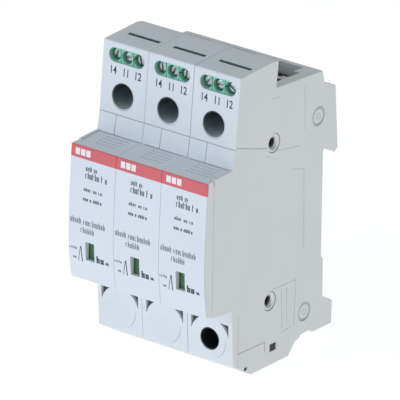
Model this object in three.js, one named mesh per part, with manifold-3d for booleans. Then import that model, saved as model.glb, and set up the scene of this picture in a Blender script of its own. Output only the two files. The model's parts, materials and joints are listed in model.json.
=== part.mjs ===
// Whole-house surge protector: three plug-in surge cartridges in a row of three
// single-pole bases on a 35 mm top-hat rail.
// Millimetres. X = across the modules, -Y = front, +Y = towards the rail, Z = up.
// y = 0 is the plane of the rail's face, z = 0 the middle of the 45 mm nose.
import * as THREE from "three";
import { mergeVertices } from "three/addons/utils/BufferGeometryUtils.js";
import Module from "manifold-3d";

const wasm = await Module();
wasm.setup();

// Driving dimensions
const POLES = 3;
const PITCH = 18; // one module of the 18 mm grid
const SEAM = 0.15; // half of the gap between two bases
const NOSE = 22.4; // half height of the nose
const GAP = 0.3; // clearance between neighbouring pieces
const WALL_IN = -7.9; // inner face of a base's left wall, from the module's centre
const SHELL_END = 7.7; // a base housing stops here and its cover begins one gap on
const BAY = { y: -17.5, top: 23.0, bottom: -23.9 }; // space the cartridge slides into
const CAVITY = { front: -16, back: -6 }; // contact space behind the bay
const BLADE_Z = 14; // middle height of the plug-in blades
const SCREW_R = 2.4; // terminal screw shank
const TOP = { z: 35.6, holeR: 4.4 }; // line terminal
const LOW = { z: -35.8, holeR: 3.7 }; // earth terminal
const SLOT = { z: 48.4, width: 14.4, height: 4.8 }; // mouth of the signalling terminal
const WIRE = { x: 5, y0: -20.3, y1: -10.5 }; // wire entry of the lower terminal
const POCKET = { x0: -6.5, x1: 5.3, y0: -23.4, y1: -3.2, floor: 39.5 }; // upper wire entries
const WINDOW = { x0: -2.2, x1: 1.3, z0: -15, z1: -8.8 }; // status window
const FLAG_Y = -57.5; // front of the flag behind it
const FLANGE_Y = -46.3; // cartridges meet each other in front of this
const PLATE_Y = -55.4; // and cover the outer walls in front of this
const RIVETS = [
  [-25.5, 26.1],
  [-26.3, -26.9],
];

// Side outlines, as (y, z)
const noseFront = [
  [-58.4, NOSE],
  [-59.2, 10],
  [-59.7, -2],
  [-59.8, -9.5],
  [-59.3, -16],
  [-58.2, -NOSE],
];
const frontHalf = [
  [-45.4, -24.3],
  [-44.4, -43.4],
  [-35.4, -48.9],
  [-16.2, -49],
  [-12.6, -45],
  [-10.8, -44.8],
  [-9.9, -43.8],
  [-5.7, -43.6],
  [-3.9, -44.8],
];
const backHalf = [
  [6, -45],
  [6.2, -37.1],
  [1.2, -34.2],
  [1, -20.8],
  [0, -20.2],
  [0, 15.1],
  [0.5, 16.5],
  [6, 13.4],
  [7.5, 14.6],
  [5.9, 36],
  [0.1, 38.6],
  [-1, 42.9],
  [-24.6, 44.2],
  [-23.5, 52.8],
  [-26.4, 53.4],
  [-42.8, 52.6],
  [-44.8, 29.5],
  [-45.9, 23.3],
];
const baseOutline = (front, top) => [[front, top], [front, -top], ...frontHalf, ...backHalf];
const outline = baseOutline(PLATE_Y + GAP, NOSE + 0.5);
const innerOutline = baseOutline(FLANGE_Y + GAP, NOSE + 0.2);

// Basic solids
function toSolid(geometry) {
  const g = geometry.index ? geometry.clone() : geometry;
  g.deleteAttribute("normal");
  g.deleteAttribute("uv");
  const m = mergeVertices(g, 1e-5);
  return new wasm.Manifold(
    new wasm.Mesh({
      numProp: 3,
      vertProperties: Float32Array.from(m.attributes.position.array),
      triVerts: Uint32Array.from(m.index.array),
    })
  );
}

function box(x0, x1, y0, y1, z0, z1) {
  const g = new THREE.BoxGeometry(x1 - x0, y1 - y0, z1 - z0);
  g.translate((x0 + x1) / 2, (y0 + y1) / 2, (z0 + z1) / 2);
  return toSolid(g);
}

function prismX(points, x0, x1) {
  const shape = new THREE.Shape(points.map(([y, z]) => new THREE.Vector2(y, z)));
  const g = new THREE.ExtrudeGeometry(shape, { depth: x1 - x0, bevelEnabled: false });
  g.applyMatrix4(new THREE.Matrix4().set(0, 0, 1, x0, 1, 0, 0, 0, 0, 1, 0, 0, 0, 0, 0, 1));
  return toSolid(g);
}

function rodY(x, z, r, y0, y1, sides = 28) {
  const g = new THREE.CylinderGeometry(r, r, y1 - y0, sides);
  g.translate(x, (y0 + y1) / 2, z);
  return toSolid(g);
}

function rodX(y, z, r0, r1, x0, x1, sides = 20) {
  const g = new THREE.CylinderGeometry(r1, r0, x1 - x0, sides);
  g.rotateZ(-Math.PI / 2);
  g.translate((x0 + x1) / 2, y, z);
  return toSolid(g);
}

const join = (...solids) => solids.reduce((a, b) => a.add(b));
const cut = (solid, ...tools) => tools.reduce((a, b) => a.subtract(b), solid);

// Finished meshes
const finishes = {
  housing: [0xd6dbe0, 0.55, 0],
  cartridge: [0xdfe3e8, 0.5, 0],
  label: [0xe9ecef, 0.4, 0],
  terminal: [0x6fb9a2, 0.5, 0],
  flag: [0x3f8f4d, 0.5, 0],
  copper: [0xb87333, 0.35, 1],
  steel: [0xb9bcc0, 0.35, 1],
  ceramic: [0x2c4a7a, 0.6, 0],
  board: [0x2f6b3e, 0.6, 0],
  switch: [0x222428, 0.6, 0],
  latch: [0xc3c8cc, 0.55, 0],
};
const root = new THREE.Group();
root.name = "surge_protector";

function add(name, solid, finish, x = 0) {
  const data = solid.getMesh();
  const g = new THREE.BufferGeometry();
  g.setAttribute("position", new THREE.BufferAttribute(Float32Array.from(data.vertProperties), 3));
  g.setIndex(new THREE.BufferAttribute(Uint32Array.from(data.triVerts), 1));
  g.computeVertexNormals();
  const [color, roughness, metalness] = finishes[finish];
  const mesh = new THREE.Mesh(g, new THREE.MeshStandardMaterial({ color, roughness, metalness }));
  mesh.name = name;
  mesh.position.x = x;
  root.add(mesh);
}

// Holes that run across a wall: rivets, and the common busbar on its inner walls
function crossHoles(solid, x0, x1, busbar) {
  const bores = RIVETS.map(([y, z]) => rodX(y, z, 1.8, 1.8, x0 - 1, x1 + 1));
  const window = busbar ? [box(x0 - 1, x1 + 1, -11.2, -7.4, -28.1, -23.8)] : [];
  return cut(solid, ...bores, ...window);
}

function countersink(solid, x, side) {
  const inner = x - side * 0.75;
  const seats = RIVETS.map(([y, z]) =>
    side > 0 ? rodX(y, z, 3.6, 3.6, inner, x + 1) : rodX(y, z, 3.6, 3.6, x - 1, inner)
  );
  return cut(solid, ...seats);
}

// Base housing: left wall and all the cross walls of one pole, open on its right
function baseHousing(pole) {
  const first = pole === 0;
  const left = first ? -PITCH / 2 : -PITCH / 2 + SEAM;
  let s = prismX(first ? outline : innerOutline, left, SHELL_END);
  const open = SHELL_END + 1;
  s = cut(
    s,
    box(WALL_IN, open, -62, BAY.y, BAY.bottom, BAY.top),
    box(WALL_IN, open, -62, FLANGE_Y + GAP, BAY.bottom - 1, BAY.top + 1),
    box(WALL_IN, open, -41.5, -26.6, 43.3, 51.2),
    box(WALL_IN, open, -30, -26.6, 41, 44),
    box(WALL_IN, open, -31.5, -8, 27.5, 41.5),
    box(WALL_IN, open, CAVITY.front, CAVITY.back, -31, 30),
    box(WALL_IN, open, -33, -8, -41.5, -27.5)
  );
  // mouths: terminal screw, signalling terminal and its wires, main wire pocket
  const half = (SLOT.width - SLOT.height) / 2;
  s = cut(
    s,
    rodY(0, TOP.z, TOP.holeR, -47, -31),
    box(-half, half, -47, -41, SLOT.z - SLOT.height / 2, SLOT.z + SLOT.height / 2),
    rodY(-half, SLOT.z, SLOT.height / 2, -47, -41),
    rodY(half, SLOT.z, SLOT.height / 2, -47, -41),
    box(-6.3, 6.3, -35.8, -34.3, 50, 54),
    box(POCKET.x0, POCKET.x1, POCKET.y0, -8, POCKET.floor, 46),
    box(POCKET.x0, POCKET.x1 - 2.3, -8.5, POCKET.y1, POCKET.floor, 46)
  );
  // slots in the wall between cartridge and contacts
  s = cut(
    s,
    box(-1.7, 1.7, -18, -15.5, BLADE_Z - 4.2, BLADE_Z + 4.2),
    box(-1.7, 1.7, -18, -15.5, -BLADE_Z - 4.2, -BLADE_Z + 4.2),
    box(-5.2, -2.8, -18, -15.5, -1.5, 1.5)
  );
  // lower terminal: open on the last pole, a round blank on the others
  if (pole === POLES - 1) {
    s = cut(s, rodY(0, LOW.z, LOW.holeR, -48, -36), rodY(0, LOW.z, TOP.holeR, -37, -32));
    s = cut(s, box(-WIRE.x, WIRE.x, WIRE.y0, WIRE.y1, -51, -41));
  } else {
    s = join(s, rodY(0, LOW.z, 6.2, -45.4, -43.4, 36));
  }
  // guide for the rail latch
  s = cut(s, box(-5, 5, -4.8, 9, -52, -17.4));
  s = crossHoles(s, first ? WALL_IN + 0.1 : left, SHELL_END, true);
  if (!first) return s;
  return countersink(crossHoles(s, left, WALL_IN, false), left, -1);
}

// Cover: the right wall of one pole
function baseCover(pole) {
  const last = pole === POLES - 1;
  const right = last ? PITCH / 2 : PITCH / 2 - SEAM;
  const start = SHELL_END + GAP;
  const s = crossHoles(prismX(last ? outline : innerOutline, start, right), start, right, !last);
  return last ? countersink(s, right, 1) : s;
}

// Rising-cage clamp round a wire that runs along Z
function cage(zMid) {
  const ring = box(-6, 6, -25, -9, zMid - 5, zMid + 5);
  return cut(ring, box(-4.8, 4.8, -22.3, -10.7, zMid - 6, zMid + 6), rodY(0, zMid, SCREW_R + 0.3, -26, -21));
}

function clampScrew(zMid) {
  const head = rodY(0, zMid, 3.8, -36, -33, 28);
  const shank = rodY(0, zMid, SCREW_R, -33.5, -21.6, 20);
  return cut(join(head, shank), box(-5, 5, -37, -34.8, zMid - 0.6, zMid + 0.6));
}

// Contact: spring clip on the blade, riser, and a tongue through the cage
function contact(sign, tongue) {
  const at = (x0, x1, y0, y1, a, b) => {
    const [low, high] = sign > 0 ? [a, b] : [-b, -a];
    return box(x0, x1, y0, y1, low, high);
  };
  let s = join(
    at(-3, -1.1, -15.7, -7, BLADE_Z - 3.5, BLADE_Z + 3.5),
    at(1.1, 3, -15.7, -7, BLADE_Z - 3.5, BLADE_Z + 3.5),
    at(-3.6, 3.6, -7.8, -6.3, BLADE_Z - 3.5, 29.5)
  );
  if (!tongue) return s;
  s = join(s, at(-4.2, 4.2, -21.3, -6.3, 28, 29.5));
  return join(s, at(-4.2, 4.2, -21.3, -19.8, 28, 40.8));
}

function signalTerminal() {
  let s = box(-7.2, 7.2, -41.1, -30.4, 43.7, 50.9);
  for (const x of [-5, 0, 5]) {
    s = cut(s, rodY(x, SLOT.z, 1.9, -42, -38.5, 20), box(x - 1.6, x + 1.6, -36.5, -33.2, 49, 52));
  }
  return s;
}

const boardOutline = [
  [-29.5, 50.5],
  [-27.2, 50.5],
  [-27.2, 41],
  [-9, 41],
  [-9, 30],
  [-6.4, 30],
  [-6.4, -6],
  [-15.6, -6],
  [-15.6, 28],
  [-29.5, 28],
];

// Cartridge: moulded body open at the back, with a front plate of the module's full width
function frontProfile(inset, back, top = NOSE, bottom = -NOSE) {
  return [...noseFront.map(([y, z]) => [y + inset, z]), [back, bottom], [back, top]];
}

const SIDE = PITCH / 2 - SEAM;

function cartridgeShell(pole) {
  const left = pole === 0 ? WALL_IN + 0.2 : -SIDE;
  const right = pole === POLES - 1 ? SHELL_END + 0.1 : SIDE;
  const profile = frontProfile(0.55, FLANGE_Y, NOSE + 0.6, -NOSE - 1.6);
  const plate = cut(prismX(profile, -SIDE, SIDE), box(-10, 10, PLATE_Y, -40, -30, 30));
  const flange = prismX(profile, left, right);
  const body = box(-7.6, 7.4, FLANGE_Y - 0.5, -19.7, -NOSE, NOSE);
  const hollow = box(-6.4, 6.2, -56.5, -19, -21.2, 21.2);
  const flagRoom = box(-3.2, 2.6, FLAG_Y - 0.3, -56, -21.9, -2.1);
  const { x0, x1, z0, z1 } = WINDOW;
  return cut(join(plate, flange, body), hollow, flagRoom, box(x0, x1, -61, -57, z0, z1));
}

function frontLabel() {
  const outer = prismX(frontProfile(0, -57), -SIDE, SIDE);
  const behind = prismX(frontProfile(0.3, -50, NOSE + 2, -NOSE - 2), -SIDE - 1, SIDE + 1);
  const { x0, x1, z0, z1 } = WINDOW;
  return cut(outer, behind, box(x0, x1, -61, -56, z0, z1));
}

function cartridgeBack() {
  const plate = box(-7.6, 7.4, -19.4, -17.9, -NOSE, NOSE);
  return cut(
    plate,
    box(-1.1, 1.1, -20, -17, BLADE_Z - 3.8, BLADE_Z + 3.8),
    box(-1.1, 1.1, -20, -17, -BLADE_Z - 3.8, -BLADE_Z + 3.8)
  );
}

function blade(sign) {
  const z0 = sign * BLADE_Z - 3.5;
  return join(box(-0.8, 0.8, -24.4, -8.3, z0, z0 + 7), box(-4, 4, -24.4, -23.2, z0, z0 + 7));
}

function varistor() {
  const c = 4;
  const [y0, y1, h] = [-52.5, -24.8, 16];
  const round = [
    [y0 + c, h],
    [y0 + 1, h - 1],
    [y0, h - c],
    [y0, c - h],
    [y0 + 1, 1 - h],
    [y0 + c, -h],
    [y1 - c, -h],
    [y1, c - h],
    [y1, h - c],
    [y1 - c, h],
  ];
  return prismX(round, -4.2, 5.6);
}

// Thermal slider: the flag seen in the window and the strip that holds it back
function thermalSlider() {
  return join(
    box(-2.9, 2.1, FLAG_Y, -56.9, -15.3, -2.5),
    box(-2.9, 2.1, FLAG_Y, -55, -7.5, -2.5),
    box(-6.1, 1.1, -56.1, -55, -7.5, -3.2),
    box(-6.1, -4.9, -56.1, -27, -7.5, -3.2)
  );
}

function railLatch() {
  return join(
    box(-4.7, 4.7, -4.5, -1.3, -46.4, -21),
    box(-4.7, 4.7, -4.5, 3.2, -24.5, -21),
    box(-4.7, 4.7, 1.35, 3.2, -22, -17.8),
    box(-4.7, 4.7, -4.5, 2.5, -46.4, -44)
  );
}

for (let pole = 0; pole < POLES; pole += 1) {
  const n = pole + 1;
  const x = (pole - (POLES - 1) / 2) * PITCH;
  add(`base_housing_${n}`, baseHousing(pole), "housing", x);
  add(`base_cover_${n}`, baseCover(pole), "housing", x);
  add(`line_clamp_${n}`, cage(TOP.z), "steel", x);
  add(`line_screw_${n}`, clampScrew(TOP.z), "steel", x);
  add(`line_contact_${n}`, contact(1, true), "copper", x);
  add(`earth_contact_${n}`, contact(-1, pole === POLES - 1), "copper", x);
  add(`signal_terminal_${n}`, signalTerminal(), "terminal", x);
  add(`signal_board_${n}`, prismX(boardOutline, -7.6, -6.8), "board", x);
  add(`signal_switch_${n}`, box(-6.5, -1.3, -15.6, -6.6, -4.5, 4.5), "switch", x);
  add(`cartridge_shell_${n}`, cartridgeShell(pole), "cartridge", x);
  add(`cartridge_back_${n}`, cartridgeBack(), "cartridge", x);
  add(`cartridge_front_${n}`, frontLabel(), "label", x);
  add(`varistor_${n}`, varistor(), "ceramic", x);
  add(`line_blade_${n}`, blade(1), "copper", x);
  add(`earth_blade_${n}`, blade(-1), "copper", x);
  add(`thermal_slider_${n}`, thermalSlider(), "flag", x);
  add(`rail_latch_${n}`, railLatch(), "latch", x);
}

add("earth_clamp", cage(LOW.z), "steel", PITCH);
add("earth_screw", clampScrew(LOW.z), "steel", PITCH);
add("common_busbar", box(-21.8, 21.8, -10.5, -8.1, -27.4, -24.4), "copper");

const END = (POLES * PITCH) / 2;
RIVETS.forEach(([y, z], i) => {
  const solid = join(
    rodX(y, z, 1.5, 1.5, -END + 0.1, END - 0.1),
    rodX(y, z, 3.3, 2.6, -END + 0.02, -END + 0.5),
    rodX(y, z, 2.6, 3.3, END - 0.5, END - 0.02)
  );
  add(i === 0 ? "rivet_upper" : "rivet_lower", cut(solid, rodX(y, z, 1, 1, -END - 1, END + 1)), "steel");
});

export default root;
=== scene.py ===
import json
import math
import random

import bmesh
import bpy
from mathutils import Matrix, Vector

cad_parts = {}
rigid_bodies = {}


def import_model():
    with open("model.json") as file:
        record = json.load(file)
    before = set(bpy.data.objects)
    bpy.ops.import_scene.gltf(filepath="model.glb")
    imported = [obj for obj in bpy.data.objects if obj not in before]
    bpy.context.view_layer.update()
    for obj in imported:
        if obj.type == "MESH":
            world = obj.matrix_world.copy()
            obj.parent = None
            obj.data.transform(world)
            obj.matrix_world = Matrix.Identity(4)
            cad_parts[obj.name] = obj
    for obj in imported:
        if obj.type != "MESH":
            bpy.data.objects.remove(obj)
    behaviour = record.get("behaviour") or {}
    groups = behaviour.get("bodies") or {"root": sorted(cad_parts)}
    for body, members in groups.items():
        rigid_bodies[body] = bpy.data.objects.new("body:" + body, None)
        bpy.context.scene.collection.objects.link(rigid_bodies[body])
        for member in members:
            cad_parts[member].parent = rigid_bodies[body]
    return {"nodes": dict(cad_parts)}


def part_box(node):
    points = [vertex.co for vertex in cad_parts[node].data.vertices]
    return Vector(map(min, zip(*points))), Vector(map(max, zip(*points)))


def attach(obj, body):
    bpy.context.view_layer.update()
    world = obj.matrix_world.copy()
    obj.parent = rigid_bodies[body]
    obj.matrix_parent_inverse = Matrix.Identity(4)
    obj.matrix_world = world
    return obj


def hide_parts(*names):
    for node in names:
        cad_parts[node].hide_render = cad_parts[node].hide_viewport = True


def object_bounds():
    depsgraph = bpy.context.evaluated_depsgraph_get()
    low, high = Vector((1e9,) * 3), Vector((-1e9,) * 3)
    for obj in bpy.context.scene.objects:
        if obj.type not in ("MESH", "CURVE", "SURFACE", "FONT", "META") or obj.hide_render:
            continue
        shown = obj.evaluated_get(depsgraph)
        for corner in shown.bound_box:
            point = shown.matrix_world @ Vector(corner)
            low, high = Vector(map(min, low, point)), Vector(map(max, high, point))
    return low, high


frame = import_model()
cad_box = [list(corner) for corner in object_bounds()]
scene = bpy.context.scene
MM = 0.001


def middle_z(node):
    """Height of a CAD node's middle."""
    low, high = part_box(node)
    return (low.z + high.z) / 2 / MM


# ---------------------------------------------------------------- dimensions (mm)
# The CAD frame gives the pitch and the edges; the rest is the detail drawn on it.
POLES = (1, 2, 3)
HALF_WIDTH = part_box("base_cover_3")[1].x / MM
PITCH = 2 * HALF_WIDTH / len(POLES)
SEAM = 0.035  # half the gap between two modules
BAY = 7.9  # half width of the chambers in a module
LINE_Z = middle_z("line_screw_2")
EARTH_Z = middle_z("earth_screw")
SIGNAL_Z = 48.4  # height of the signalling screws
UPPER_FOOT = (-44.8, 29.5)  # (y, z) of the lower end of the upper front face
UPPER_LEAN = 2.0 / 23.1  # slopes of the upper and lower front faces
LOWER_LEAN = 1.0 / 19.1
AHEAD = -62  # in front of everything
LINE_MOUTH, EARTH_MOUTH = 4.4, 3.75  # radii of the screwdriver holes

# cartridge: its nose stands between heights NOSE and -NOSE
NOSE = 22.4
NOSE_STEPS = 22  # lengths in the smooth curve of its front
FLANGE_Y = -46.3  # back of the nose
TOP_RISE, UNDER_DROP = 0.6, 1.6  # how far its top and underside spread towards the flange
PLATE_Y = -55.4  # back of the front plate, which covers the outer walls
FACE_THICK = 0.55  # the printed front and the gap behind it
WINDOW = {"x0": -2.2, "x1": 1.3, "z0": -15.0, "z1": -8.8}
FLAG_TURN_Z = -8.85  # where the slider turns from green to red
BAND_Z = 18.35  # lower edge of the red band
GRIP_COUNT, GRIP_START, GRIP_PITCH = 4, -47.9, 1.85
GRIP_HALF, GRIP_DEPTH = 0.42, 0.5

# outlines as (y, z) points: the nose from its top down, the case below it, then its back upwards
NOSE_FRONT = [(-58.4, NOSE), (-59.2, 10), (-59.7, -2), (-59.8, -9.5), (-59.3, -16), (-58.2, -NOSE)]
LOWER = [
    (-45.4, -24.3), (-44.4, -43.4), (-35.4, -48.9), (-16.2, -49), (-12.6, -45),
    (-10.8, -44.8), (-9.9, -43.8), (-5.7, -43.6), (-3.9, -44.8),
]
BACK = [
    (6, -45), (6.2, -37.1), (1.2, -34.2), (1, -20.8), (0, -20.2), (0, 15.1), (0.5, 16.5),
    (6, 13.4), (7.5, 14.6), (5.9, 36), (0.1, 38.6), (-1, 42.9), (-24.6, 44.2),
    (-23.5, 52.8), (-26.4, 53.4), (-42.8, 52.6), UPPER_FOOT, (-45.9, 23.3),
]


def offset_x(pole):
    return (pole - 2) * PITCH


def y_at(points, z):
    """The y of an outline, given from its top down, at height z."""
    for (y0, z0), (y1, z1) in zip(points, points[1:]):
        if z1 <= z <= z0:
            return y0 + (y1 - y0) * (z0 - z) / (z0 - z1)
    return points[0][0] if z > 0 else points[-1][0]


def nose_curve(inset=0.0):
    """The nose outline as a smooth curve, from its top to its bottom."""
    result = []
    for i in range(NOSE_STEPS + 1):
        z = NOSE - 2 * NOSE * i / NOSE_STEPS
        around = [max(-NOSE, min(NOSE, z + d)) for d in (-4, -2, 0, 2, 4)]
        y = sum(y_at(NOSE_FRONT, height) for height in around) / len(around)
        if i in (0, NOSE_STEPS):
            y = y_at(NOSE_FRONT, z)
        result.append((y + inset, z))
    return result


# ---------------------------------------------------------------- mesh helpers
def fillet(points, radius):
    """Rounds the corners of a closed outline, with four chords to an arc."""
    result = []
    total, steps = len(points), 4
    share = 0.42  # the most of an edge that one arc may take
    for i, corner in enumerate(points):
        p = Vector(corner)
        a = Vector(points[i - 1]) - p
        b = Vector(points[(i + 1) % total]) - p
        angle = a.angle(b)
        if angle > math.radians(172):  # nearly straight
            result.append(tuple(p))
            continue
        reach = min(radius / math.tan(angle / 2), share * a.length, share * b.length)
        r = reach * math.tan(angle / 2)
        bisector = (a.normalized() + b.normalized()).normalized()
        centre = p + bisector * (r / math.sin(angle / 2))
        start = p + a.normalized() * reach - centre
        end = p + b.normalized() * reach - centre
        sweep = start.angle_signed(end)
        for k in range(steps + 1):
            turn = -sweep * k / steps
            v = Vector((
                start.x * math.cos(turn) - start.y * math.sin(turn),
                start.x * math.sin(turn) + start.y * math.cos(turn),
            ))
            result.append(tuple(centre + v))
    return result


def make(name, verts, faces):
    mesh = bpy.data.meshes.new(name)
    mesh.from_pydata([tuple(c * MM for c in v) for v in verts], [], faces)
    bm = bmesh.new()
    bm.from_mesh(mesh)
    bmesh.ops.recalc_face_normals(bm, faces=bm.faces)
    bm.to_mesh(mesh)
    bm.free()
    obj = bpy.data.objects.new(name, mesh)
    scene.collection.objects.link(obj)
    return obj


def prism(name, near, far):
    """A solid between two like rings of (x, y, z) points."""
    n = len(near)
    faces = [tuple(range(n)), tuple(range(2 * n - 1, n - 1, -1))]
    faces += [(i, (i + 1) % n, n + (i + 1) % n, n + i) for i in range(n)]
    return make(name, near + far, faces)


def prism_x(name, outline, x0, x1):
    """A prism along X from a (y, z) outline."""
    return prism(name, [(x0, y, z) for y, z in outline], [(x1, y, z) for y, z in outline])


def prism_y(name, outline, y0, y1):
    """A prism along Y from an (x, z) outline."""
    return prism(name, [(x, y0, z) for x, z in outline], [(x, y1, z) for x, z in outline])


def block(x0, x1, y0, y1, z0, z1, name="cut"):
    return prism_x(name, [(y0, z0), (y1, z0), (y1, z1), (y0, z1)], x0, x1)


def circle(cu, cv, r, sides):
    turns = [2 * math.pi * k / sides for k in range(sides)]
    return [(cu + r * math.cos(a), cv + r * math.sin(a)) for a in turns]


def arc(start, end, steps):
    """Angles from start to end, given in degrees."""
    return [math.radians(start + (end - start) * k / steps) for k in range(steps + 1)]


def obround(x_mid, x_half, z, height):
    """Outline of a slot with round ends."""
    r = height / 2
    right, left = x_mid + x_half - r, x_mid - x_half + r
    points = [(right + r * math.cos(a), z + r * math.sin(a)) for a in arc(-90, 90, 14)]
    return points + [(left + r * math.cos(a), z + r * math.sin(a)) for a in arc(90, 270, 14)]


def stroke(u0, v0, u1, v1, width):
    """Corners of a straight strip between two points."""
    d = Vector((u1 - u0, v1 - v0)).normalized()
    n = Vector((-d.y, d.x)) * width / 2
    return [(u0 - n.x, v0 - n.y), (u1 - n.x, v1 - n.y), (u1 + n.x, v1 + n.y), (u0 + n.x, v0 + n.y)]


def rod_y(x, z, r, y0, y1, sides=40):
    return prism_y("cut", circle(x, z, r, sides), y0, y1)


def rod_x(y, z, r, x0, x1, sides):
    return prism_x("cut", circle(y, z, r, sides), x0, x1)


def lathe(name, profile, axis, centre, sides=40):
    """Turns a closed (radius, along) profile about an axis through centre."""
    verts, faces = [], []
    n = len(profile)
    for k in range(sides):
        a = 2 * math.pi * k / sides
        for r, along in profile:
            u, v = r * math.cos(a), r * math.sin(a)
            offset = (along, u, v) if axis == "X" else (v, along, u)
            verts.append(tuple(c + o for c, o in zip(centre, offset)))
    for k in range(sides):
        for i in range(n):
            j = (i + 1) % n
            m = (k + 1) % sides
            faces.append((k * n + i, k * n + j, m * n + j, m * n + i))
    obj = make(name, verts, faces)
    bm = bmesh.new()
    bm.from_mesh(obj.data)
    bmesh.ops.remove_doubles(bm, verts=bm.verts, dist=1e-7)
    bmesh.ops.dissolve_degenerate(bm, edges=bm.edges, dist=1e-7)
    bmesh.ops.recalc_face_normals(bm, faces=bm.faces)
    bm.to_mesh(obj.data)
    bm.free()
    return obj


def settle(obj):
    """Applies every modifier."""
    graph = bpy.context.evaluated_depsgraph_get()
    mesh = bpy.data.meshes.new_from_object(obj.evaluated_get(graph))
    obj.modifiers.clear()
    obj.data = mesh


def combine(obj, others, operation):
    group = bpy.data.collections.new("tools")
    scene.collection.children.link(group)
    for other in others:
        scene.collection.objects.unlink(other)
        group.objects.link(other)
    modifier = obj.modifiers.new("combine", "BOOLEAN")
    modifier.operation = operation
    modifier.operand_type = "COLLECTION"
    modifier.collection = group
    modifier.solver = "EXACT"
    settle(obj)
    for other in list(group.objects):
        bpy.data.objects.remove(other)
    bpy.data.collections.remove(group)


def carve(obj, cutters):
    combine(obj, cutters, "DIFFERENCE")


def fuse(obj, others):
    combine(obj, others, "UNION")


def soften(obj, width, angle):
    """Rounds the edges that bend by more than the angle."""
    modifier = obj.modifiers.new("edges", "BEVEL")
    modifier.width = width * MM
    modifier.segments = 2
    modifier.limit_method = "ANGLE"
    modifier.angle_limit = math.radians(angle)
    modifier.use_clamp_overlap = True
    settle(obj)


def smooth(obj):
    """Smooth shading that keeps large faces flat and hard corners hard."""
    mesh = obj.data
    mesh.shade_smooth()
    mesh.set_sharp_from_angle(angle=math.radians(50))
    modifier = obj.modifiers.new("weight", "WEIGHTED_NORMAL")
    modifier.mode = "FACE_AREA"
    modifier.weight = 100
    modifier.keep_sharp = True
    settle(obj)


def shift(obj, dx):
    obj.data.transform(Matrix.Translation((dx * MM, 0, 0)))


# ---------------------------------------------------------------- materials
class Nodes:
    """Short names for building a node material."""

    def __init__(self, name):
        self.material = bpy.data.materials.new(name)
        self.material.use_nodes = True
        self.tree = self.material.node_tree
        self.shader = self.tree.nodes["Principled BSDF"]

    def node(self, kind, **values):
        n = self.tree.nodes.new(kind)
        for key, value in values.items():
            setattr(n, key, value)
        return n

    def link(self, a, b):
        self.tree.links.new(a, b)

    def place(self):
        return self.node("ShaderNodeTexCoord").outputs["Object"]

    def noise(self, scale, detail, vector=None):
        n = self.node("ShaderNodeTexNoise")
        n.inputs["Scale"].default_value = scale
        n.inputs["Detail"].default_value = detail
        n.inputs["Roughness"].default_value = 0.55
        self.link(vector or self.place(), n.inputs["Vector"])
        return n.outputs["Fac"]

    def ramp(self, source, stops):
        n = self.node("ShaderNodeValToRGB")
        while len(n.color_ramp.elements) < len(stops):
            n.color_ramp.elements.new(0.5)
        for element, (position, color) in zip(n.color_ramp.elements, stops):
            element.position = position
            element.color = (*color, 1)
        self.link(source, n.inputs["Fac"])
        return n.outputs["Color"]

    def spread(self, source, low, high):
        n = self.node("ShaderNodeMapRange")
        n.inputs["To Min"].default_value = low
        n.inputs["To Max"].default_value = high
        self.link(source, n.inputs["Value"])
        return n.outputs["Result"]

    def math(self, operation, *operands):
        n = self.node("ShaderNodeMath", operation=operation)
        for socket, value in zip(n.inputs, operands):
            if isinstance(value, (int, float)):
                socket.default_value = value
            else:
                self.link(value, socket)
        return n.outputs["Value"]

    def mix(self, factor, a, b):
        n = self.node("ShaderNodeMix", data_type="RGBA")
        self.link(factor, n.inputs[0])
        for socket, value in ((n.inputs[6], a), (n.inputs[7], b)):
            if isinstance(value, tuple):
                socket.default_value = (*value, 1)
            else:
                self.link(value, socket)
        return n.outputs[2]

    def bump(self, height, strength, distance):
        n = self.node("ShaderNodeBump")
        n.inputs["Strength"].default_value = strength
        n.inputs["Distance"].default_value = distance
        self.link(height, n.inputs["Height"])
        self.link(n.outputs["Normal"], self.shader.inputs["Normal"])

    def set(self, **values):
        for key, value in values.items():
            self.shader.inputs[key.replace("_", " ")].default_value = value


def shade(color, factor):
    return tuple(c * factor for c in color)


def tint(nodes, color, amount, scale=60):
    """The colour with a faint cloudiness."""
    return nodes.ramp(
        nodes.noise(scale, 4), [(0.3, shade(color, 1 - amount)), (0.7, shade(color, 1 + amount))]
    )


def moulded(name, color, roughness, grain=2600, bump=0.12, amount=0.02):
    """Injection-moulded plastic: fine spark-eroded grain and faint cloudiness."""
    m = Nodes(name)
    m.link(tint(m, color, amount), m.shader.inputs["Base Color"])
    worn = m.spread(m.noise(180, 4), roughness - 0.05, roughness + 0.06)
    m.link(worn, m.shader.inputs["Roughness"])
    m.bump(m.noise(grain, 2), bump, 0.04 * MM)
    m.set(Specular_IOR_Level=0.4)
    return m.material


def metal(name, color, roughness):
    """Plated or rolled metal with fine drawn lines."""
    m = Nodes(name)
    stretch = m.node("ShaderNodeMapping")
    stretch.inputs["Scale"].default_value = (0.15, 1, 1)
    m.link(m.place(), stretch.inputs["Vector"])
    lines = m.noise(900, 3, stretch.outputs["Vector"])
    m.link(tint(m, color, 0.06, 220), m.shader.inputs["Base Color"])
    m.link(m.spread(lines, roughness - 0.08, roughness + 0.12), m.shader.inputs["Roughness"])
    m.bump(lines, 0.1, 0.03 * MM)
    m.set(Metallic=1.0)
    return m.material


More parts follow.
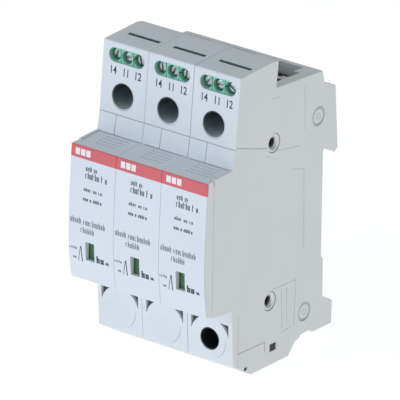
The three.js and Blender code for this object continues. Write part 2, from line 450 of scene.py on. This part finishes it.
def printed_front():
    """Cartridge front: cool light plastic with a red band along its top."""
    m = Nodes("cartridge_print")
    split = m.node("ShaderNodeSeparateXYZ")
    m.link(m.place(), split.inputs["Vector"])
    above = m.math("SUBTRACT", split.outputs["Z"], BAND_Z * MM)
    steepness = 12000.0  # per metre: the red fades in over a twelfth of a millimetre
    clamp = m.node("ShaderNodeClamp")
    m.link(m.math("MULTIPLY", above, steepness), clamp.inputs["Value"])
    plain = tint(m, FRONT_COLOR, 0.012)
    red = tint(m, BAND_COLOR, 0.03, 90)
    m.link(m.mix(clamp.outputs["Result"], plain, red), m.shader.inputs["Base Color"])
    m.link(m.spread(m.noise(180, 4), 0.42, 0.52), m.shader.inputs["Roughness"])
    m.bump(m.noise(2400, 2), 0.08, 0.03 * MM)
    m.set(Specular_IOR_Level=0.4)
    return m.material


def flag_paint():
    """Slider moulding: green flag below, red flag above it."""
    m = Nodes("flag_paint")
    split = m.node("ShaderNodeSeparateXYZ")
    m.link(m.place(), split.inputs["Vector"])
    upper = m.math("GREATER_THAN", split.outputs["Z"], FLAG_TURN_Z * MM)
    green = tint(m, (0.075, 0.18, 0.08), 0.12, 300)
    red = tint(m, (0.5, 0.03, 0.03), 0.08, 300)
    m.link(m.mix(upper, green, red), m.shader.inputs["Base Color"])
    m.link(m.spread(m.noise(400, 3), 0.4, 0.55), m.shader.inputs["Roughness"])
    m.bump(m.noise(2400, 2), 0.1, 0.04 * MM)
    return m.material


def hole_shade_material():
    """Painted shade and light for the inside of a screw hole: dark towards its upper left, greyer
    towards its lower right.
    """
    m = Nodes("hole_shade_paint")
    split = m.node("ShaderNodeSeparateXYZ")
    m.link(m.node("ShaderNodeTexCoord").outputs["Generated"], split.inputs["Vector"])
    across = m.math("SUBTRACT", split.outputs["X"], split.outputs["Z"])
    cloud = m.math("MULTIPLY", m.noise(300, 4), 0.1)
    light = m.math("ADD", m.math("MULTIPLY_ADD", across, 0.5, 0.5), cloud)
    greys = [(0.25, (0.02, 0.027, 0.031)), (0.5, (0.16, 0.19, 0.2)), (0.85, (0.62, 0.7, 0.72))]
    m.link(m.ramp(light, greys), m.shader.inputs["Base Color"])
    m.link(m.spread(m.noise(180, 4), 0.36, 0.48), m.shader.inputs["Roughness"])
    m.bump(m.noise(2000, 2), 0.1, 0.04 * MM)
    return m.material


FRONT_COLOR = (0.70, 0.735, 0.77)
BAND_COLOR = (0.66, 0.135, 0.14)

BASE = moulded("base_plastic", (0.69, 0.72, 0.73), 0.5)
CARTRIDGE = moulded("cartridge_plastic", (0.70, 0.73, 0.745), 0.5)
FRONT = printed_front()
TEAL = moulded("terminal_green", (0.20, 0.52, 0.38), 0.45, 2000, 0.1, 0.05)
FLAG = flag_paint()
INK = moulded("print_ink", (0.045, 0.05, 0.062), 0.55, 2400, 0.05, 0.1)
INK_SOFT = moulded("print_ink_soft", (0.075, 0.085, 0.105), 0.55, 2400, 0.05, 0.1)
WHITE_INK = moulded("print_white", (0.86, 0.80, 0.80), 0.5, 2400, 0.05, 0.02)
STEEL = metal("plated_steel", (0.62, 0.63, 0.64), 0.3)
SCREW_STEEL = metal("screw_steel", (0.44, 0.46, 0.47), 0.28)
RIVET_STEEL = metal("rivet_steel", (0.60, 0.62, 0.63), 0.3)
COPPER = metal("contact_metal", (0.70, 0.50, 0.33), 0.3)
SHADOW = moulded("shadow_plastic", (0.055, 0.068, 0.076), 0.55, 2000, 0.1, 0.08)
# painted shade for the slot above the signalling terminal
SHADE_TEAL = moulded("slot_shade", (0.013, 0.052, 0.04), 0.5, 2000, 0.1, 0.08)
# painted shade and light for the insides of the line screw holes
HOLE_SHADE = hole_shade_material()
# the real black of the switch, and painted shade in the earth hole, the side slots and the wire
# pocket
BLACK = moulded("black_plastic", (0.016, 0.016, 0.018), 0.4, 2000, 0.1, 0.08)
BOARD = moulded("circuit_board", (0.03, 0.12, 0.05), 0.4, 1500, 0.1, 0.1)
EPOXY = moulded("varistor_coating", (0.02, 0.06, 0.18), 0.35, 700, 0.3, 0.08)
LATCH = moulded("latch_plastic", (0.60, 0.63, 0.64), 0.5)


def finish_piece(obj, material, slot, body, *nodes):
    """Shades a piece, paints it and hangs it on a body, in place of CAD nodes where given."""
    smooth(obj)
    obj.data.materials.clear()
    obj.data.materials.append(material)
    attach(obj, body)
    if nodes:
        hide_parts(*nodes)


# ---------------------------------------------------------------- base cases
SIGNAL_SHIFT = 0.5  # the signalling screws sit a little right of the middle
SIGNAL_X = (-4.2, 0.5, 5.2)
SIGNAL_WALLS = (-2, 3)  # x of the grooves between the wells
SIGNAL_TURN = {1: (70, 20, 100), 2: (95, 60, 80), 3: (40, 10, 150)}  # degrees of each slot
NUMBER_X, NUMBER_Z, NUMBER_SIZE = (-4.5, 0.6, 5.3), 43.4, 3.6
CORNER_RADIUS = 7.5  # of the recesses above the terminal cover
RIVETS = [(-25.5, 26.1), (-26.3, -26.9)]
RIVET_SEAT, RIVET_HOLE = 3.3, 1.7
PLUGS = [(-2.9, 28.2), (-8.4, -36.2)]
SLOT_DEPTH, NOTCH_DEPTH = 14, 2  # of the openings low on an outer side face
# mould lines of the outer side faces, as (y, z) points, and the width and depth of each kind
DEEP, FINE = (0.34, 0.3), (0.22, 0.14)
DEEP_SEAMS = [
    [(-44.4, 30.1), (-29.2, 25.4)],
    [(-41.9, -39.7), (-28.6, -40), (-28.5, -43.4)],
]
FINE_SEAMS = [
    [(-26.7, 41.1), (-22.7, 40.8)],
    [(-10.2, 40.5), (-9.7, 25.6)],
    [(-29.9, 22.7), (-27.1, 22.1)],
    [(-23.6, 23), (-12.4, 21.2)],
    [(-20.2, -24.8), (-19.8, -38.1)],
    [(-17.7, -25.1), (-17.3, -37.9)],
    [(-16.4, 14.5), (-9.9, 12.8), (-9.2, -14.2)],
    [(-25.1, -23.4), (-13, -23.7), (-13.7, -39.1)],
    [(-20.1, -39.4), (-15.1, -39.2)],
    [(-42.2, -27), (-42, -44.1)],
]


def span(x_face, side, depth):
    """The x range of a cut into an outer side face."""
    return sorted((x_face - side * depth, x_face + side))


def seam_cut(line, x_face, side, width, depth):
    """A fine groove in an outer side face, along a line of (y, z) points."""
    cuts = []
    for start, end in zip(line, line[1:]):
        overrun = (Vector(end) - Vector(start)).normalized() * width / 2
        quad = stroke(*(Vector(start) - overrun), *(Vector(end) + overrun), width)
        cuts.append(prism_x("cut", quad, *span(x_face, side, depth)))
    return cuts


def plug_cut(y, z, x_face, side):
    """Round recess with a low cone left standing in its middle."""
    rim, toe, top = 3.3, 2.7, 2.3
    floor = x_face - side * 0.95
    far = x_face + side
    profile = [(top, x_face), (top, far), (rim, far), (rim, floor), (toe, floor)]
    return lathe("cut", profile, "X", (0, y, z))


def ring_cut(y, z, r_in, r_out, x0, x1):
    return lathe("cut", [(r_in, x0), (r_out, x0), (r_out, x1), (r_in, x1)], "X", (0, y, z))


def side_cuts(x_face, side):
    """Rivet seats, plugs, mould lines and the small openings of an outer side face."""
    cuts = [rod_x(y, z, RIVET_SEAT, *span(x_face, side, 0.8), 40) for y, z in RIVETS]
    for y, z in PLUGS:
        cuts.append(plug_cut(y, z, x_face, side))
        cuts.append(ring_cut(y, z, 0.8, 1.05, *span(x_face, side, 0.2)))
    for line in DEEP_SEAMS:
        cuts += seam_cut(line, x_face, side, *DEEP)
    for line in FINE_SEAMS:
        cuts += seam_cut(line, x_face, side, *FINE)
    cuts.append(block(*span(x_face, side, SLOT_DEPTH), -26, -22.6, -44.4, -41.8))
    cuts.append(block(*span(x_face, side, NOTCH_DEPTH), -38.9, -37.2, -48.5, -45.5))
    return cuts


def corner_outline(side):
    """Recess in an upper corner of the lower front, round the terminal cover."""
    edge, top = side * 7.4, -29.5
    ring = [
        (side * CORNER_RADIUS * math.sin(a), EARTH_Z + CORNER_RADIUS * math.cos(a))
        for a in arc(31, 74, 8)
    ]
    return [(edge, ring[-1][1]), (edge, top)] + ring


def corner_shades(pole):
    """Painted shade: dark pieces at the bottoms of the two corner recesses."""
    front, end = -43.9, -41
    piece = prism_y(f"corner_shade_{pole}", corner_outline(-1), front, end)
    fuse(piece, [prism_y("right", corner_outline(1), front, end)])
    shift(piece, offset_x(pole))
    finish_piece(piece, SHADOW, "base_plastic", "base")


def blank_disc():
    """Round blank, a little proud of the leaning lower face."""
    radius, proud, root = 6.2, 0.16, 2
    face_y = -44.82  # of the lower face at the disc's middle
    disc = prism_y("blank", circle(0, 0, radius, 64), -proud, root)
    lean = math.atan(LOWER_LEAN)
    place = Matrix.Translation((0, face_y * MM, EARTH_Z * MM)) @ Matrix.Rotation(-lean, 4, "X")
    disc.data.transform(place)
    return disc


def base_case(pole):
    """Housing of one module; the outer two carry the side walls of the row."""
    first, last = pole == POLES[0], pole == POLES[-1]
    left = -PITCH / 2 + (0 if first else SEAM)
    right = PITCH / 2 - (0 if last else SEAM)
    wall_front = [(-57.5, NOSE + 0.5), (-57.5, -NOSE - 0.5)]
    outline = fillet(wall_front + LOWER + BACK, 0.55)
    case = prism_x(f"base_case_{pole}", outline, left, right)
    soften(case, 0.3 if first or last else 0.14, 60)
    open_left = -BAY if first else left - 1
    open_right = BAY if last else right + 1
    cuts = [
        # space for the cartridge, and its open front between the outer walls
        block(-BAY, BAY, AHEAD, -17.5, -23.9, 23),
        block(open_left, open_right, AHEAD, FLANGE_Y + 0.25, -30, 30),
        block(left - 1, right + 1, AHEAD, PLATE_Y + 0.04, -30, 30),
        block(left - 1, right + 1, AHEAD, PLATE_Y + 0.5, 20.8, 30),
        # chambers for the terminals, board and contacts
        block(-BAY, BAY, -41.5, -26.6, 43.3, 51.2),
        block(-BAY, BAY, -30, -26.6, 41, 44),
        block(-BAY, BAY, -31.5, -8, 27.5, 41.5),
        block(-BAY, BAY, -16, -6, -31, 30),
        block(-BAY, BAY, -33, -8, -41.5, -27.5),
        # mouths in front
        rod_y(0, LINE_Z, LINE_MOUTH, -47, -31),
        prism_y("cut", obround(SIGNAL_SHIFT, 7.05, SIGNAL_Z, 4.7), -47, -41),
        # signalling wire slot, wire pocket with its rib
        block(-5.2, 7.4, -36.1, -34.3, 50, 54),
        block(-6.5, 5.3, -23.4, -8, 39.5, 46),
        block(-6.5, 3, -8.5, -3.2, 39.5, 46),
        # gap between the pocket's floor and its rear wall
        block(-6.5, 1.4, -5.6, -3.2, 33, 40),
        block(-6.5, -3.0, -8.8, -3.2, 33, 40),
        # slots for the blades and the signalling pin
        block(-1.7, 1.7, -18, -15.5, 9.8, 18.2),
        block(-1.7, 1.7, -18, -15.5, -18.2, -9.8),
        block(-5.2, -2.8, -18, -15.5, -1.5, 1.5),
        # guide for the rail latch
        block(-5, 5, -4.8, 9, -52, -17.4),
        # joint lines under the upper block and in the neck
        block(left - 1, right + 1, -46, -44.35, 29.3, 29.62),
        prism_x("cut", [(-47, 23), (-45.68, 23), (-44.55, 29.4), (-47, 29.4)], -2.17, -1.93),
        # window for the common busbar
        block(
            0.1 - BAY if first else open_left, BAY - 0.1 if last else open_right,
            -11.2, -7.4, -28.1, -23.8,
        ),
    ]
    for y, z in RIVETS:
        cuts.append(rod_x(y, z, RIVET_HOLE, left - 1, right + 1, 24))
    # dark corners above the terminal cover
    for side in (-1, 1):
        cuts.append(prism_y("cut", corner_outline(side), -47, -38))
    if last:
        # mouth, shaft and wire opening of the earth terminal
        cuts.append(rod_y(0, EARTH_Z, EARTH_MOUTH, -48, -36))
        cuts.append(rod_y(0, EARTH_Z, 4.3, -37, -32))
        cuts.append(block(-5, 5, -20.3, -10.5, -52, -41))
        cuts += side_cuts(right, 1)
    fuse(case, [blank_disc()])
    if first:
        cuts += side_cuts(left, -1)
    carve(case, cuts)
    soften(case, 0.11, 50)
    shift(case, offset_x(pole))
    slot_shade(pole)
    corner_shades(pole)
    pocket_shade(pole)
    # painted shade: dark tubes inside the line and earth screw holes
    radius = LINE_MOUTH - 0.1
    shade_tube(f"line_shade_tube_{pole}", pole, LINE_Z, radius, -44.15, -31.2, UPPER_LEAN, HOLE_SHADE)
    if last:
        radius = EARTH_MOUTH - 0.07
        shade_tube("earth_shade_tube", pole, EARTH_Z, radius, -44.8, -36.4, -LOWER_LEAN, BLACK)
    nodes = f"base_housing_{pole}", f"base_cover_{pole}"
    finish_piece(case, BASE, "base_plastic", "base", *nodes)


def pocket_shade(pole):
    """Painted shade: a black piece in the deep corner of the wire pocket."""
    piece = block(-6.4, -3.1, -8.7, -3.3, 34, 39.1, name=f"pocket_shade_{pole}")
    soften(piece, 0.1, 45)
    shift(piece, offset_x(pole))
    finish_piece(piece, BLACK, "black_plastic", "base")


def side_slot_shade(name, side):
    """Painted shade: black pieces inside the slot and the notch low on an outer side face."""
    outer = side * (HALF_WIDTH - 0.35)
    slot = sorted((side * (HALF_WIDTH - 3), outer))
    notch = sorted((side * (HALF_WIDTH - 1.9), outer))
    piece = block(*slot, -25.95, -22.65, -44.35, -41.85, name=name)
    fuse(piece, [block(*notch, -38.85, -37.25, -46.8, -45.55)])
    soften(piece, 0.1, 45)
    finish_piece(piece, BLACK, "black_plastic", "base")


def slot_shade(pole):
    """Painted shade: a dark teal piece that closes the slot above the signalling terminal."""
    piece = block(-5.12, 7.32, -36.04, -34.36, 51.3, 52.84, name=f"signal_slot_shade_{pole}")
    soften(piece, 0.1, 45)
    shift(piece, offset_x(pole))
    finish_piece(piece, SHADE_TEAL, "terminal_green", "base")


def shade_tube(name, pole, z, radius, front, end, lean, material):
    """Tube of painted shade inside the screwdriver hole of a terminal screw; its mouth leans with
    the face.
    """
    bore = radius - 0.3
    profile = [(bore, front), (radius, front), (radius, end), (bore, end)]
    piece = lathe(name, profile, "Y", (0, 0, z), 48)
    for vertex in piece.data.vertices:
        if vertex.co.y < (front + end) / 2 * MM:
            vertex.co.y += (vertex.co.z - z * MM) * lean
    shift(piece, offset_x(pole))
    finish_piece(piece, material, "base_plastic", "base")


# ---------------------------------------------------------------- cartridges
def window_cut():
    return block(WINDOW["x0"], WINDOW["x1"], AHEAD, -57, WINDOW["z0"], WINDOW["z1"])


def cartridge_case(pole):
    side = PITCH / 2 - SEAM
    flange = [(FLANGE_Y, -NOSE - UNDER_DROP), (FLANGE_Y, NOSE + TOP_RISE)]
    case = prism_x(f"cartridge_case_{pole}", nose_curve(FACE_THICK) + flange, -side, side)
    fuse(case, [block(-7.6, 7.4, FLANGE_Y - 1, -19.7, -NOSE, NOSE)])
    # the outer cartridges step in behind their front plate to clear the outer walls
    inside = BAY - 0.15
    step = {1: (-10, -inside), 3: (inside, 10)}
    cuts = [block(*step[pole], PLATE_Y, -46, -30, 30)] if pole in step else []
    cuts += [
        # hollow for the varistor, track for the slider
        block(-6.4, 6.4, -56.5, -19, -21.2, 21.2),
        block(-3.2, 2.6, -57.8, -56, -21.9, -2.1),
        window_cut(),
    ]
    nose_front = NOSE_FRONT[0][0]
    for k in range(GRIP_COUNT):
        y = GRIP_START - GRIP_PITCH * k
        along = (y - nose_front) / (FLANGE_Y - nose_front)
        top = NOSE + TOP_RISE * along - GRIP_DEPTH
        under = -NOSE - UNDER_DROP * along + GRIP_DEPTH
        for z0, z1 in ((top, 24), (-25, under)):
            cuts.append(block(-3.3, 5.5, y - GRIP_HALF, y + GRIP_HALF, z0, z1))
    carve(case, cuts)
    soften(case, 0.07, 50)
    shift(case, offset_x(pole))
    body, node = f"cartridge_{pole}", f"cartridge_shell_{pole}"
    finish_piece(case, CARTRIDGE, "cartridge_plastic", body, node)


def cartridge_face(pole):
    side = PITCH / 2 - SEAM
    inner = nose_curve(FACE_THICK - 0.02)
    face = prism_x(f"cartridge_face_{pole}", nose_curve() + inner[::-1], -side, side)
    carve(face, [window_cut()])
    soften(face, 0.14, 50)
    shift(face, offset_x(pole))
    finish_piece(face, FRONT, "printed_front", f"cartridge_{pole}", f"cartridge_front_{pole}")


# ---------------------------------------------------------------- printed marks
PRINT_THICK = 0.03
PRINT_SEED = 41
# small print: letters in each word, x from and to, height of the row, of its letters, stroke width
DARK_ROWS = [
    ([3, 2], -2.8, 2.1, 15.7, 1.8, 0.22),
    ([6, 1, 1], -2.9, 5.9, 13.4, 2.2, 0.27),
    ([2], 2.1, 5.3, -13.6, 2.4, 0.6),
    ([2], 5.8, 7.1, -14.1, 1.0, 0.28),
]
SOFT_ROWS = [
    ([4, 2, 2], -3.3, 4.1, 8.7, 1.25, 0.24),
    ([3, 1, 5], -3.4, 4.1, 5.5, 1.25, 0.24),
    ([5, 10], -8.3, 5.7, -2.1, 2.1, 0.2),
    ([6], -4.1, 1.4, -4.9, 2.0, 0.2),
    ([5], -8.6, -5.6, -11.7, 1.0, 0.2),
    ([2], -7.3, -5.9, -14.9, 0.9, 0.2),
]
# long strokes beside the window, from (x, z) to (x, z), and their width
LEGS = [(-5.2, -15.9, -4.1, -10.7, 0.2), (-3.6, -15.8, -3.95, -10.7, 0.34)]


def print_mesh(name, quads):
    """Thin ink strokes lying on the cartridge front; each quad is a list of (x, z) corners."""
    front = nose_curve()
    verts, faces = [], []
    for quad in quads:
        base = len(verts)
        n = len(quad)
        for depth in (-PRINT_THICK, 0.004):
            verts += [(x, y_at(front, z) + depth, z) for x, z in quad]
        faces.append(tuple(range(base, base + n)))
        faces.append(tuple(range(base + 2 * n - 1, base + n - 1, -1)))
        faces += [
            (base + i, base + (i + 1) % n, base + n + (i + 1) % n, base + n + i) for i in range(n)
        ]
    return make(name, verts, faces)


def leg(x0, z0, x1, z1, width):
    """A long stroke in short lengths, so that it follows the curved front."""
    parts = 5
    at = [(x0 + (x1 - x0) * k / parts, z0 + (z1 - z0) * k / parts) for k in range(parts + 1)]
    return [stroke(*a, *b, width) for a, b in zip(at, at[1:])]


def greek(rng, words, x0, x1, z, height, weight):
    """Short strokes that stand for a row of small print."""
    space = 0.7  # letters left free between two words
    step = (x1 - x0) / (sum(words) + space * (len(words) - 1))
    bottom, middle, shoulder = z - height * 0.5, z - height * 0.12, z + height * 0.2
    quads, x = [], x0
    for count in words:
        for _ in range(count):
            left, right = x + step * 0.22, x + step * 0.66
            top = z + height * 0.5 if rng.random() < 0.35 else shoulder
            quads.append(stroke(left, bottom, left, top, weight))
            if rng.random() < 0.75:
                quads.append(stroke(right, bottom, right, shoulder, weight))
            level = rng.choice((bottom + weight / 2, middle, shoulder - weight / 2))
            quads.append(stroke(left, level, right, level, weight * 0.8))
            x += step
        x += space * step
    return quads


def face_marks(pole):
    """The print on a cartridge front: mock lettering, two long strokes and white squares."""
    rng = random.Random(PRINT_SEED)
    dark = [quad for row in DARK_ROWS for quad in greek(rng, *row)]
    dark += [quad for line in LEGS for quad in leg(*line)]
    soft = [quad for row in SOFT_ROWS for quad in greek(rng, *row)]
    white = []
    for left in (-7.1, -5.0, -2.9):
        right = left + 1.7
        white.append([(left, 19.4), (right, 19.4), (right, 21.5), (left, 21.5)])
    inks = {"dark": (dark, INK), "soft": (soft, INK_SOFT), "white": (white, WHITE_INK)}
    for label, (quads, ink) in inks.items():
        piece = print_mesh(f"face_print_{label}_{pole}", quads)
        shift(piece, offset_x(pole))
        finish_piece(piece, ink, "printed_front", f"cartridge_{pole}")


def terminal_number(text, pole, index):
    """A printed number on the upper front face, under its signalling screw."""
    data = bpy.data.curves.new("number", "FONT")
    data.body = text
    data.size = NUMBER_SIZE * MM
    data.offset = 0.05 * MM
    data.extrude = 0.012 * MM
    data.align_x = "CENTER"
    data.align_y = "CENTER"
    font = bpy.data.objects.new("number", data)
    scene.collection.objects.link(font)
    lean = math.atan(UPPER_LEAN)
    x = offset_x(pole) + NUMBER_X[index]
    foot_y, foot_z = UPPER_FOOT
    y = foot_y + UPPER_LEAN * (NUMBER_Z - foot_z) - 0.01
    place = Matrix.Translation((x * MM, y * MM, NUMBER_Z * MM))
    upright = Matrix.Rotation(math.pi / 2 - lean, 4, "X")
    font.matrix_world = place @ upright @ Matrix.Diagonal((0.8, 1, 1, 1))
    bpy.context.view_layer.update()
    graph = bpy.context.evaluated_depsgraph_get()
    mesh = bpy.data.meshes.new_from_object(font.evaluated_get(graph))
    mesh.transform(font.matrix_world)
    bpy.data.objects.remove(font)
    obj = bpy.data.objects.new(f"terminal_number_{pole}_{index + 1}", mesh)
    scene.collection.objects.link(obj)
    finish_piece(obj, INK, "base_plastic", "base")


# ---------------------------------------------------------------- terminals
def signal_block(pole):
    """Green terminal block with three wells and fine grooves between them."""
    piece = block(-7.2, 7.2, -41.1, -30.4, 43.7, 50.9, name=f"signal_block_{pole}")
    fuse(piece, [prism_y("boss", obround(SIGNAL_SHIFT, 6.85, SIGNAL_Z, 4.5), -42.85, -40)])
    cuts = []
    for x in SIGNAL_X:
        cuts.append(rod_y(x, SIGNAL_Z, 2.08, -44, -39.2, 32))
        cuts.append(block(x - 1.6, x + 1.6, -36.5, -33.2, 49, 52))
    for x in SIGNAL_WALLS:
        cuts.append(block(x - 0.12, x + 0.12, -43, -41.7, 43, 52))
    carve(piece, cuts)
    soften(piece, 0.12, 45)
    shift(piece, offset_x(pole))
    finish_piece(piece, TEAL, "terminal_green", "base", f"signal_terminal_{pole}")


def signal_screw(pole, index):
    x = SIGNAL_X[index]
    profile = [
        (0, -41.9), (1.3, -41.9), (1.7, -41.7), (1.86, -41.3), (1.86, -40.0), (1.0, -39.9),
        (1.0, -39.3), (0, -39.3),
    ]
    piece = lathe(f"signal_screw_{pole}_{index + 1}", profile, "Y", (x, 0, SIGNAL_Z), 32)
    turn = math.radians(SIGNAL_TURN[pole][index])
    centre = Vector((x, SIGNAL_Z))
    reach = 3 * Vector((math.cos(turn), math.sin(turn)))
    slot = stroke(*(centre - reach), *(centre + reach), 0.72)
    carve(piece, [prism_y("cut", slot, -44, -41.1)])
    soften(piece, 0.06, 40)
    shift(piece, offset_x(pole))
    finish_piece(piece, SCREW_STEEL, "plated_steel", "base")


def clamp_screw(name, node, pole):
    """Terminal screw with a combined slot and cross recess, and a threaded shank."""
    low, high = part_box(node)
    z = middle_z(node)
    front, tip = low.y / MM, high.y / MM
    root, crest, thread_pitch = 2.0, 2.38, 0.8
    head = [(0, 0), (3.1, 0), (3.6, 0.25), (3.8, 0.7), (3.8, 2.8), (3.5, 3), (2.3, 3)]
    profile = [(r, front + depth) for r, depth in head]
    thread = front + 3.4
    while thread < tip - 1.2:
        profile += [(root, thread), (crest, thread + thread_pitch / 2)]
        thread += thread_pitch
    profile += [(root, tip - 0.6), (1.5, tip), (0, tip)]
    piece = lathe(name, profile, "Y", (0, 0, z))
    cuts = [
        block(-4.5, 4.5, front - 1, front + 1.1, z - 0.55, z + 0.55),
        block(-1.9, 1.9, front - 1, front + 2, z - 0.5, z + 0.5),
        block(-0.5, 0.5, front - 1, front + 2, z - 1.9, z + 1.9),
    ]
    carve(piece, cuts)
    soften(piece, 0.08, 50)
    shift(piece, offset_x(pole))
    finish_piece(piece, STEEL, "plated_steel", node, node)


def rivet(node, y, z):
    """Hollow rivet through the three bases, its ends flared into the side faces."""
    # one end, as (radius, distance in from the side face)
    flare = [(1.5, 1.4), (3.05, 0.55), (3.1, 0.3), (2.75, 0.2), (2.1, 0.45), (1.15, 1.3)]
    right = [(r, HALF_WIDTH - depth) for r, depth in flare]
    left = [(r, -x) for r, x in right[::-1]]
    piece = lathe(f"{node}_turned", right + left, "X", (0, y, z))
    soften(piece, 0.05, 50)
    finish_piece(piece, RIVET_STEEL, "rivet_steel", "base", node)


# ---------------------------------------------------------------- carried-over nodes
def carry(node, material, width=0.15):
    """Keeps a CAD node's shape, with rounded edges and its own material."""
    obj = frame["nodes"][node]
    obj.data.materials.clear()
    obj.data.materials.append(material)
    flat = obj.modifiers.new("flat", "DECIMATE")
    flat.decimate_type = "DISSOLVE"
    flat.angle_limit = math.radians(1)
    bevel = obj.modifiers.new("edges", "BEVEL")
    bevel.width = width * MM
    bevel.segments = 2
    bevel.limit_method = "ANGLE"
    bevel.angle_limit = math.radians(40)
    bevel.harden_normals = True


for pole in POLES:
    base_case(pole)
    cartridge_case(pole)
    cartridge_face(pole)
    face_marks(pole)
    signal_block(pole)
    for index, text in enumerate(("14", "11", "12")):
        signal_screw(pole, index)
        terminal_number(text, pole, index)
    clamp_screw(f"line_screw_turned_{pole}", f"line_screw_{pole}", pole)
    carry(f"line_clamp_{pole}", STEEL)
    carry(f"line_contact_{pole}", COPPER, 0.1)
    carry(f"earth_contact_{pole}", COPPER, 0.1)
    carry(f"signal_board_{pole}", BOARD, 0.05)
    carry(f"signal_switch_{pole}", BLACK, 0.2)
    carry(f"cartridge_back_{pole}", CARTRIDGE, 0.15)
    carry(f"varistor_{pole}", EPOXY, 0.8)
    carry(f"line_blade_{pole}", COPPER, 0.15)
    carry(f"earth_blade_{pole}", COPPER, 0.15)
    carry(f"thermal_slider_{pole}", FLAG, 0.1)
    carry(f"rail_latch_{pole}", LATCH, 0.3)
clamp_screw("earth_screw_turned", "earth_screw", POLES[-1])
carry("earth_clamp", STEEL)
carry("common_busbar", COPPER, 0.2)
# painted shade in the slots and notches low on the outer side faces
for name, side in (("right_slot_shade", 1), ("left_slot_shade", -1)):
    side_slot_shade(name, side)
for node, (y, z) in zip(("rivet_upper", "rivet_lower"), RIVETS):
    rivet(node, y, z)


# ---------------------------------------------------------------- stage
def floor():
    m = Nodes("floor")
    m.link(tint(m, (0.25, 0.25, 0.25), 0.004, 3), m.shader.inputs["Base Color"])
    m.set(Roughness=0.9, Emission_Color=(1, 1, 1, 1), Emission_Strength=0.85)
    bm = bmesh.new()
    bmesh.ops.create_grid(bm, x_segments=1, y_segments=1, size=6)
    mesh = bpy.data.meshes.new("floor")
    bm.to_mesh(mesh)
    bm.free()
    obj = bpy.data.objects.new("floor", mesh)
    obj.location.z = cad_box[0][2]  # the lowest point of the CAD
    scene.collection.objects.link(obj)
    mesh.materials.append(m.material)


def area_light(name, location, size, power, color):
    data = bpy.data.lights.new(name, "AREA")
    data.shape = "RECTANGLE"
    data.size, data.size_y = size
    data.energy = power
    data.color = color
    obj = bpy.data.objects.new(name, data)
    obj.location = location
    obj.rotation_euler = (-Vector(location)).to_track_quat("-Z", "Y").to_euler()
    scene.collection.objects.link(obj)


def camera():
    """The photo's view, through a long lens moved a little aside so that the part sits as there."""
    azimuth, elevation, roll = (math.radians(angle) for angle in (38.08, 22.38, 0.73))
    distance, aside, above = 2.1607, -0.01722, -0.00752  # metres
    flat = math.cos(elevation)
    back = Vector((math.sin(azimuth) * flat, -math.cos(azimuth) * flat, math.sin(elevation)))
    level = Vector((math.cos(azimuth), math.sin(azimuth), 0))
    upward = back.cross(level)
    right = level * math.cos(roll) + upward * math.sin(roll)
    up = upward * math.cos(roll) - level * math.sin(roll)
    data = bpy.data.cameras.new("camera")
    data.lens = 616.0
    data.sensor_width = 36
    data.clip_end = 50
    obj = bpy.data.objects.new("camera", data)
    matrix = Matrix((right, up, back)).transposed().to_4x4()
    matrix.translation = back * distance + right * aside + up * above
    obj.matrix_world = matrix
    scene.collection.objects.link(obj)
    scene.camera = obj


floor()
world = bpy.data.worlds.new("studio")
world.use_nodes = True
sky = world.node_tree.nodes["Background"].inputs
sky["Color"].default_value = (0.93, 0.97, 1.0, 1)
sky["Strength"].default_value = 0.5
scene.world = world
area_light("key", (-0.9, -2.4, 0.7), size=(1.6, 1.2), power=21, color=(0.74, 0.93, 1.25))
area_light("fill", (2.4, -0.7, 0.9), size=(1.6, 1.6), power=4, color=(1.0, 0.98, 0.9))
camera()
scene.view_settings.view_transform = "Standard"
